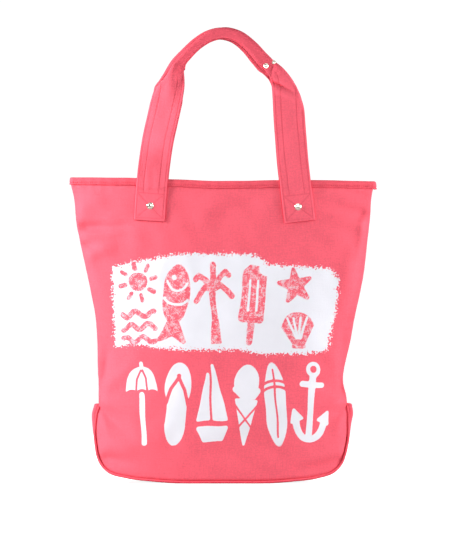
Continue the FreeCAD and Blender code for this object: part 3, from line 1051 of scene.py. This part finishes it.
def strap_lines():
    """Every sewing line on a strap: its end boxes and the rows along its length."""
    lines = tab_lines(0, 1) + tab_lines(ROUTE_LENGTH, -1)
    far = ROUTE_LENGTH
    for side in (-1, 1):
        for across, start in ((STITCH_OUTER, TAB_STITCH), (STITCH_INNER, BOX_TOP)):
            lines.append(((start, side * across), (LEFT_LEG, side * across)))
            lines.append(((far - RIGHT_LEG, side * across), (far - start, side * across)))
    return lines


def near_stitching(distance, across, reach):
    """1 on the strap's sewing lines, fading to nothing a few `reach` away."""
    nearest = np.full(np.broadcast(distance, across).shape, FAR)
    for start, end in strap_lines():
        nearest = np.minimum(nearest, to_segment(distance, across, start, end)[0])
    return np.exp(-(nearest / reach) ** 2)


def strap_face(distance, across, facing, side):
    """Point on the strap's outer (side 1) or inner (side -1) face, and its normal."""
    step = 0.4
    middle = strap_point(distance, across, facing)
    run = strap_point(distance + step, across, facing) - strap_point(distance - step, across, facing)
    spread = strap_point(distance, across + step, facing) - strap_point(distance, across - step, facing)
    normal = unit(np.cross(run, spread)) * -facing
    round_in = np.clip((np.abs(across) - STRAP_HALF + STRAP_EDGE) / STRAP_EDGE, 0, 1)
    half = STRAP / 2 * np.sqrt(np.maximum(1 - round_in ** 2, 0.02))
    half = half - STITCH_GROOVE * near_stitching(distance, across, 0.65)
    ahead = np.minimum(distance, ROUTE_LENGTH - distance)
    half = half * np.sqrt(np.clip((ahead + 0.05) / 1.2, 0.05, 1))
    return middle + normal * (side * half)[..., None], normal * side


def strap_cloth(facing):
    """One strap: tab, leg, folded grip, leg and tab in a single folded band of canvas."""
    ends = np.array([0, 0.25, 0.6, 1.0, 1.5, 2.2])
    run = np.linspace(3.0, ROUTE_LENGTH - 3.0, 400)
    distance = np.concatenate([ends, run, ROUTE_LENGTH - ends[::-1]])[:, None]
    edge = STRAP_HALF - np.array([0, 0.15, 0.5, 0.9, STRAP_EDGE])
    flat = np.linspace(-STRAP_FLAT_HALF, STRAP_FLAT_HALF, 72)
    across = np.concatenate([-edge, flat, edge[::-1]])[None]
    outer, _ = strap_face(distance, across, facing, 1)
    inner, _ = strap_face(distance, across[:, ::-1], facing, -1)
    rings = np.concatenate([outer, inner], axis=1)
    width = np.concatenate([across, INNER_FACE_SHIFT - across[:, ::-1]], axis=1)
    from_edge = STRAP_HALF - np.abs(across)
    # seam attribute: darker along the sewing lines, partly painted shade in their grooves, and painted
    # shade at the very edges
    seam = near_stitching(distance, across, 0.6) + EDGE_SHADE * np.exp(-(from_edge / 0.5) ** 2)
    seam = seam - EDGE_PALE_LINE * np.exp(-((from_edge - 1.3) / 0.6) ** 2)
    # painted shade over the folded grip
    grip_shade_mask = step_between(0.7 - route_at(distance / ROUTE_LENGTH)[..., 2], 0, 0.3)
    seam = seam + GRIP_PAINTED_SHADE * grip_shade_mask
    seam = np.concatenate([seam, seam[:, ::-1]], axis=1)
    return sweep_mesh(named(facing, "strap"), rings, width, distance, seam=seam)


def strap_stitches(facing):
    lines = []
    for (start, left), (end, right) in strap_lines():
        count = max(int(math.hypot(end - start, right - left)), 2)
        distance = np.linspace(start, end, count)
        across = np.linspace(left, right, count)
        lines.append(strap_face(distance, across, facing, 1))
        above = route_at(distance / ROUTE_LENGTH)[:, 1] > RIM_Z + 6
        if above.sum() > 4:
            lines.append(strap_face(distance[above], across[above], facing, -1))
    return stitch_mesh(named(facing, "strap_stitches"), lines, STRAP_STITCH_RADIUS)


# ======================================================================= rivets and patches
# Radius, height above the cloth: a domed cap with a rolled rim.
CAP_PROFILE = [
    (0.0, 2.15), (0.9, 2.1), (1.8, 1.92), (2.6, 1.55), (3.2, 1.05), (3.45, 0.72), (3.6, 0.66),
    (3.95, 0.74), (4.25, 0.6), (4.35, 0.3), (4.2, 0.0), (3.9, -0.5), (0.0, -0.5),
]
# The flat inner disc with its shallow ring.
BACK_PROFILE = [
    (0.0, 0.55), (1.2, 0.55), (1.7, 0.8), (2.4, 0.98), (3.6, 0.95), (4.2, 0.7), (4.4, 0.35),
    (4.3, 0.0), (4.0, -0.4), (0.0, -0.4),
]
CAP_SINK = 0.1  # into the cloth
ANCHOR_SCALE = 1.08
GRIP_SCALE = 0.78


def rivet_mesh(name, places, profile, scale=1.0, sides=40):
    """Turned rivet parts at (point, normal) places."""
    around = np.arange(sides) * 2 * math.pi / sides
    everything, faces = [], []
    for point, normal in places:
        side = unit(np.cross(normal, [0.0, 0.0, 1.0]))
        other = np.cross(side, normal)
        start = sum(len(part) for part in everything)
        rings = []
        for radius, height in profile[1:-1]:
            spoke = np.cos(around)[:, None] * side + np.sin(around)[:, None] * other
            rings.append(point + scale * (radius * spoke + height * normal))
        tip = point + scale * profile[0][1] * normal
        foot = point + scale * profile[-1][1] * normal
        everything.append(np.concatenate(rings + [tip[None], foot[None]]))
        rows = len(profile) - 2
        faces += (grid_faces(rows, sides, wrap_columns=True) + start).tolist()
        last = start + rows * sides
        for j in range(sides):
            following = (j + 1) % sides
            faces.append([last, start + j, start + following])
            faces.append([last + 1, last - sides + j, last - sides + following])
    points = np.concatenate(everything)
    return make_mesh(name, points, faces, {"cloth": points})


def anchor_rivets():
    caps, backs = [], []
    for facing in (FRONT, BACK):
        for distance in (ANCHOR_RIVET_UP, ROUTE_LENGTH - ANCHOR_RIVET_UP):
            point, normal = strap_face(distance, 0.0, facing, 1)
            caps.append((point - normal * CAP_SINK, normal))
            inside, outward = on_panel(point[0], point[2], facing, -CANVAS - PATCH)
            backs.append((inside, -outward))
    return (rivet_mesh("anchor_caps", caps, CAP_PROFILE, ANCHOR_SCALE),
            rivet_mesh("anchor_backs", backs, BACK_PROFILE))


def strap_place(x, z):
    """Distance along and across the strap's front layer at a place in the front view."""
    distance, across = np.meshgrid(np.linspace(0, ROUTE_LENGTH, 600), np.linspace(-STRAP_HALF, 0, 60))
    points = strap_point(distance, across, FRONT)
    nearest = np.argmin(np.hypot(points[..., 0] - x, points[..., 2] - z))
    return distance.ravel()[nearest], across.ravel()[nearest]


def grip_rivets(facing):
    """The pair that holds the grip's fold at the right shoulder."""
    caps, backs = [], []
    shift = 0.0 if facing == FRONT else -0.8 * BACK_SHIFT
    for x, z in GRIP_RIVETS:
        distance, across = strap_place(x + shift, z)
        point, normal = strap_face(distance, across, facing, 1)
        caps.append((point - normal * CAP_SINK, normal))
        behind = point - [0, facing * GRIP_THICKNESS, 0]
        backs.append((behind, np.array([0.0, -facing, 0.0])))
    return (rivet_mesh(named(facing, "grip_caps"), caps, CAP_PROFILE, GRIP_SCALE),
            rivet_mesh(named(facing, "grip_backs"), backs, BACK_PROFILE, GRIP_SCALE))


def inside_patch(facing, side):
    """A square of canvas sewn inside the bag behind a tab."""
    low, high = cad_box(named(facing, side + "_inside_patch"))
    x, z = np.meshgrid(np.linspace(low[0], high[0], 40), np.linspace(low[2], high[2], 40))
    outer, normals = on_panel(x, z, facing, -CANVAS)
    return sheet_mesh(named(facing, "patch_" + side), outer, normals, PATCH, x, z)


def patch_stitches():
    lines = []
    for facing in (FRONT, BACK):
        for side in SIDE_NAMES.values():
            low, high = cad_box(named(facing, side + "_inside_patch"))
            low = low + PATCH_HEM
            high = high - PATCH_HEM
            corners = [(low[0], low[2]), (high[0], low[2]), (high[0], high[2]), (low[0], high[2])]
            for (ax, az), (bx, bz) in zip(corners, corners[1:] + corners[:1]):
                x = np.linspace(ax, bx, 40)
                z = np.linspace(az, bz, 40)
                points, normals = on_panel(x, z, facing, -CANVAS - PATCH)
                lines.append((points, -normals))
    return stitch_mesh("patch_stitches", lines)


# ======================================================================= materials
class Output:
    """A node's output, written in sums and products like a number."""

    def __init__(self, graph, socket):
        self.graph = graph
        self.socket = socket

    def __add__(self, other):
        return self.graph.math("ADD", self, other)

    def __sub__(self, other):
        return self.graph.math("SUBTRACT", self, other)

    def __rsub__(self, other):
        return self.graph.math("SUBTRACT", other, self)

    def __mul__(self, other):
        return self.graph.math("MULTIPLY", self, other)


class Graph:
    """Short way to write the node graph of a material or of the world."""

    def __init__(self, owner):
        owner.use_nodes = True
        self.owner = owner
        self.tree = owner.node_tree

    def put(self, socket, value):
        if isinstance(value, Output):
            self.tree.links.new(value.socket, socket)
        elif isinstance(value, tuple) and len(value) == 3 and socket.type == "RGBA":
            socket.default_value = value + (1.0,)
        else:
            socket.default_value = value

    def add(self, kind, output, inputs=None, **settings):
        """One output of a new node, given its settings and its inputs by name or number."""
        node = self.tree.nodes.new("ShaderNode" + kind)
        for name, value in settings.items():
            setattr(node, name, value)
        for place, value in (inputs or {}).items():
            self.put(node.inputs[place], value)
        return Output(self, node.outputs[output])

    def math(self, kind, first, second=0.0):
        return self.add("Math", 0, {0: first, 1: second}, operation=kind)

    def ramp(self, value, low, high, start=0.0, end=1.0):
        """Smooth step of a value between two places."""
        inputs = {"Value": value, "From Min": low, "From Max": high, "To Min": start, "To Max": end}
        return self.add("MapRange", "Result", inputs, interpolation_type="SMOOTHSTEP")

    def attribute(self, name, output="Fac"):
        return self.add("Attribute", output, attribute_name=name)

    def scaled(self, vector, factors):
        return self.add("VectorMath", 0, {0: vector, 1: factors}, operation="MULTIPLY")

    def noise(self, vector, scale, detail=2.0, roughness=0.5):
        inputs = {"Vector": vector, "Scale": scale, "Detail": detail, "Roughness": roughness}
        return self.add("TexNoise", "Fac", inputs)

    def openness(self, reach):
        """1 in the open and less in a crevice, looking as far as reach metres."""
        return self.add("AmbientOcclusion", "AO", {"Distance": reach}, samples=8)

    def parts(self, vector):
        return [self.add("SeparateXYZ", place, {0: vector}) for place in (0, 1)]

    def blend(self, share, first, second):
        inputs = {"Factor": share, "A": first, "B": second}
        return self.add("Mix", "Result", inputs, data_type="RGBA")

    def brightened(self, colour, value):
        return self.add("HueSaturation", 0, {"Value": value, "Color": colour})

    def bump(self, height, distance, strength, **under):
        inputs = {"Strength": strength, "Distance": distance, "Height": height}
        return self.add("Bump", "Normal", {**inputs, **under})

    def shaded(self, name):
        """What is linked to one of the material's inputs."""
        socket = self.tree.nodes["Principled BSDF"].inputs[name]
        return Output(self, socket.links[0].from_socket)

    def finish(self, **inputs):
        shader = self.tree.nodes["Principled BSDF"]
        for name, value in inputs.items():
            self.put(shader.inputs[name.replace("_", " ")], value)
        return self.owner


def material_graph(name):
    return Graph(bpy.data.materials.new(name))


CORAL = (0.89, 0.122, 0.172)
# colour of painted shade: the canvas is blended towards it in crevices and by the seam attribute
CORAL_PAINTED_SHADE = (0.72, 0.035, 0.065)
CORAL_STRAP = (0.89, 0.126, 0.178)
CORAL_TAPE = (0.88, 0.110, 0.154)
CORAL_THREAD = (0.80, 0.080, 0.125)
INK = (0.80, 0.80, 0.86)
PALE_METAL = (0.86, 0.80, 0.68)
THREAD_PITCH = 0.78  # between the threads of the weave
CREVICE = 0.009  # metres within which cloth shades cloth


def weave(graph, cloth):
    """Plain weave along the cloth's own directions: its height, and its threads' slubs."""
    across, along = graph.parts(cloth)
    drift = graph.noise(cloth, 0.05)
    turn = math.pi / THREAD_PITCH
    warp = graph.math("SINE", (across + drift * 1.6) * turn)
    weft = graph.math("SINE", (along + drift * 1.3) * turn)
    slub_warp = graph.noise(graph.scaled(cloth, (1.25, 0.06, 1.0)), 1.0)
    slub_weft = graph.noise(graph.scaled(cloth, (0.05, 1.25, 1.0)), 1.0)
    return warp * weft, slub_warp + slub_weft


def canvas(name, colour, fuzz=0.08, relief=0.00016):
    """Dyed cotton canvas with painted shade: darker and deeper in colour where the seam attribute says,
    and in crevices.
    """
    graph = material_graph(name)
    cloth = graph.attribute("cloth", "Vector")
    over, slub = weave(graph, cloth)
    mottle = graph.noise(cloth, 0.035, 4.0, 0.6)
    fine = graph.noise(cloth, 0.42, 3.0, 0.65)
    # the seam attribute: darker sewn lines, and mostly painted shade; it darkens the colour and blends
    # it towards the painted shade colour
    seam_and_painted_shade = graph.attribute("seam")
    value = mottle * 0.18 + 0.47 + fine * 0.42 + slub * 0.22 + over * 0.035
    value = value * (seam_and_painted_shade * -0.12 + 1.0)
    shade = graph.blend(seam_and_painted_shade * 0.28, graph.brightened(colour, value), CORAL_PAINTED_SHADE)
    # painted shade in crevices: where ambient occlusion finds cloth close by, the colour is blended
    # towards the painted shade colour
    shade = graph.blend(graph.ramp(graph.openness(CREVICE), 0.3, 0.9), CORAL_PAINTED_SHADE, shade)
    height = over * 0.5 + slub * 1.4 + fine * 0.7
    graph.finish(Base_Color=shade, Roughness=graph.ramp(mottle, 0.3, 0.7, 0.80, 0.92),
                 Normal=graph.bump(height, relief, 0.55), Sheen_Weight=fuzz, Sheen_Roughness=0.45,
                 Sheen_Tint=(1.0, 0.7, 0.76), Specular_IOR_Level=0.14)
    return graph


def add_print(graph, ink):
    """White screen print over a canvas: a rough block with figures left out, and a row."""
    cloth = graph.attribute("cloth", "Vector")
    broad = graph.noise(cloth, 0.09, 3.0, 0.6)
    ragged = graph.noise(cloth, 0.30, 4.0, 0.75)
    grain = graph.noise(cloth, 0.7, 3.0, 0.7)
    specks = graph.noise(cloth, 0.42, 1.0, 0.5)
    worn = graph.noise(cloth, 0.14, 4.0, 0.75)
    torn = graph.attribute("block_ink") + (ragged - 0.5) * 15.0
    torn = torn + (broad - 0.5) * 10.0 + (specks - 0.5) * 15.0
    flecks = graph.ramp(grain * 0.55 + worn * 0.6, 0.55, 0.68, 0.0, 0.75)
    cut_out = graph.ramp(graph.attribute("cut_out") + (ragged - 0.5) * 2.2, -0.25, 0.5)
    block_mask = graph.ramp(torn, 0.0, 0.3) * (1.0 - cut_out * (1.0 - flecks))
    row_mask = graph.ramp(graph.attribute("row_ink") + (ragged - 0.5), -0.3, 0.3)
    rubbed = graph.ramp(grain + ragged * 0.6, 1.05, 1.2, 1.0, 0.72)
    mask = graph.math("MAXIMUM", block_mask, row_mask) * rubbed
    paint = graph.brightened(ink, broad * 0.05 + 0.975)
    graph.finish(Base_Color=graph.blend(mask, graph.shaded("Base Color"), paint),
                 Roughness=graph.shaded("Roughness") + mask * -0.22,
                 Normal=graph.bump(mask, 0.00012, 0.6, Normal=graph.shaded("Normal")))


def thread(name, colour):
    """Twisted polyester sewing thread."""
    graph = material_graph(name)
    across, along = graph.parts(graph.attribute("cloth", "Vector"))
    twist = graph.math("SINE", across * 9.0 + along * 6.0)
    shade = graph.brightened(colour, twist * 0.06 + 0.98)
    return graph.finish(Base_Color=shade, Roughness=0.55, Normal=graph.bump(twist, 0.00006, 0.5),
                        Sheen_Weight=0.1, Specular_IOR_Level=0.4)


def plated_metal(name, colour):
    """Pale plated brass, brushed and lightly scuffed."""
    graph = material_graph(name)
    cloth = graph.attribute("cloth", "Vector")
    scuff = graph.noise(cloth, 0.9, 4.0, 0.7)
    fine = graph.noise(graph.scaled(cloth, (6.0, 1.0, 1.0)), 1.0)
    shade = graph.brightened(colour, scuff * 0.25 + 0.85)
    roughness = graph.ramp(scuff, 0.35, 0.7, 0.14, 0.26)
    return graph.finish(Base_Color=shade, Metallic=1.0, Roughness=roughness,
                        Normal=graph.bump(fine, 0.00003, 0.3))


# ======================================================================= assembly
def dress(piece, material, nodes, body="bag"):
    piece.data.materials.append(material)
    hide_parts(*nodes)
    if body:
        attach(piece, body)
    return piece


plain_canvas = canvas("coral_canvas", CORAL).owner
printed = canvas("printed_canvas", CORAL)
add_print(printed, INK)
strap_canvas = canvas("strap_canvas", CORAL_STRAP, relief=0.0001).owner
tape_canvas = canvas("tape_canvas", CORAL_TAPE, fuzz=0.06).owner
coral_thread = thread("coral_thread", CORAL_THREAD)
rivet_metal = plated_metal("rivet_metal", PALE_METAL)

dress(panel_cloth(FRONT, 300, 280), printed.owner, ["front_panel"])
dress(panel_cloth(BACK, 170, 160), plain_canvas, ["back_panel"])
dress(base_cloth(), plain_canvas, ["base_gusset"])
dress(rim_tape(), tape_canvas, ["rim_binding"])
dress(rim_stitches(), coral_thread, [])
dress(patch_stitches(), coral_thread, [])

for sign, side in SIDE_NAMES.items():
    dress(side_seam_tape(sign), tape_canvas, [side + "_side_seam_tape"])
    for facing in (FRONT, BACK):
        node = named(facing, side + "_inside_patch")
        dress(inside_patch(facing, side), plain_canvas, [node])

for facing in (FRONT, BACK):
    dress(piping_roll(facing), tape_canvas, [named(facing, "base_piping")])
    dress(base_seam_tape(facing), tape_canvas, [named(facing, "base_seam_tape")])

caps, backs = anchor_rivets()
dress(caps, rivet_metal, ["anchor_rivet_caps"])
dress(backs, rivet_metal, ["anchor_rivet_backs"])

for facing in (FRONT, BACK):
    body = named(facing, "handle")
    parts = ("left_strap_end", "right_strap_end", "handle_loop")
    strap_nodes = [named(facing, part) for part in parts]
    strap = dress(strap_cloth(facing), strap_canvas, strap_nodes, body=None)
    stitches = dress(strap_stitches(facing), coral_thread, [], body=None)
    hinge_y = facing * HINGE_Y * MM
    for piece in (strap, stitches):
        (HINGE_Z + 1) * MM
        (HINGE_Z + 27) * MM
        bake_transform(piece)
    caps, backs = grip_rivets(facing)
    dress(caps, rivet_metal, [named(facing, "grip_rivet_caps")], body)
    dress(backs, rivet_metal, [named(facing, "grip_rivet_backs")], body)


# ======================================================================= room
FLOOR_RADIUS = 14.0
FLOOR_SIDES = 96
FLOOR_GLOW = 0.93
AMBIENT = 0.14  # the world's strength as a light
REFLECTED = 0.7  # and in reflections
BACKDROP_GLOW = 1.05
BAND_DIRECTION = (-0.30, -1.0, 0.0)  # of the reflected room's darker band
LENS = 298.0
SENSOR = 36.0  # width, as the lens in millimetres
VIEWPOINT = (0.0033, -6.0, 0.284)  # metres


def floor():
    """A large pale disc under the bag."""
    mesh = bpy.data.meshes.new("floor")
    around = np.linspace(0, 2 * math.pi, FLOOR_SIDES, endpoint=False)
    ring = [(FLOOR_RADIUS * math.cos(a), FLOOR_RADIUS * math.sin(a), -0.0005) for a in around]
    mesh.from_pydata(ring, [], [list(range(FLOOR_SIDES))])
    disc = bpy.data.objects.new("floor", mesh)
    bpy.context.scene.collection.objects.link(disc)
    graph = material_graph("pale_floor")
    grain = graph.noise(graph.add("TexCoord", "Object"), 6.0, 3.0)
    seen = graph.add("LightPath", "Is Camera Ray")
    shade = graph.blend(grain, (0.52, 0.52, 0.52), (0.56, 0.56, 0.56))
    graph.finish(Base_Color=shade, Roughness=0.9, Specular_IOR_Level=0.1,
                 Emission_Color=(1.0, 1.0, 1.0), Emission_Strength=seen * FLOOR_GLOW)
    mesh.materials.append(graph.owner)


def soft_light(name, place, target, size, power):
    light = bpy.data.lights.new(name, "AREA")
    light.shape = "DISK"
    light.size = size
    light.energy = power
    lamp = bpy.data.objects.new(name, light)
    lamp.location = place
    way = Vector(target) - Vector(place)
    lamp.rotation_euler = way.to_track_quat("-Z", "Y").to_euler()
    bpy.context.scene.collection.objects.link(lamp)


def studio_world():
    """White seen directly; as a light source, pale with a darker band in front for gloss."""
    world = bpy.data.worlds.new("studio")
    bpy.context.scene.world = world
    graph = Graph(world)
    way = graph.scaled(graph.add("TexCoord", "Generated"), (1.0, 1.0, 0.35))
    gap = graph.add("VectorMath", "Value", {0: way, 1: BAND_DIRECTION}, operation="DISTANCE")
    glossy = graph.add("LightPath", "Is Glossy Ray")
    span = {"Value": glossy, "To Min": AMBIENT, "To Max": REFLECTED}
    strength = graph.add("MapRange", "Result", span)
    colour = graph.ramp(gap, 0.30, 0.44, 0.03, 1.0)
    glow = graph.add("Background", 0, {"Color": colour, "Strength": strength})
    backdrop = graph.add("Background", 0, {"Color": (1.0, 1.0, 1.0), "Strength": BACKDROP_GLOW})
    seen = graph.add("LightPath", "Is Camera Ray")
    surface = graph.add("MixShader", 0, {0: seen, 1: glow, 2: backdrop})
    graph.put(graph.tree.nodes["World Output"].inputs["Surface"], surface)


def camera():
    lens = bpy.data.cameras.new("camera")
    lens.lens = LENS
    lens.sensor_width = SENSOR
    viewer = bpy.data.objects.new("camera", lens)
    viewer.location = VIEWPOINT
    viewer.rotation_euler = (math.pi / 2, 0, 0)
    bpy.context.scene.collection.objects.link(viewer)
    bpy.context.scene.camera = viewer


floor()
studio_world()
soft_light("key", (-1.0, -0.24, 0.62), (-0.1, 0, 0.3), 0.45, 17.0)
soft_light("fill", (1.0, -0.11, 0.46), (0.1, 0, 0.30), 0.5, 9.2)
soft_light("front", (0.2, -1.6, 0.75), (0.0, 0, 0.3), 0.8, 11.6)
soft_light("back", (-0.4, 1.6, 0.75), (0.0, 0, 0.3), 0.8, 19.0)
camera()
bpy.context.scene.view_settings.view_transform = "Standard"
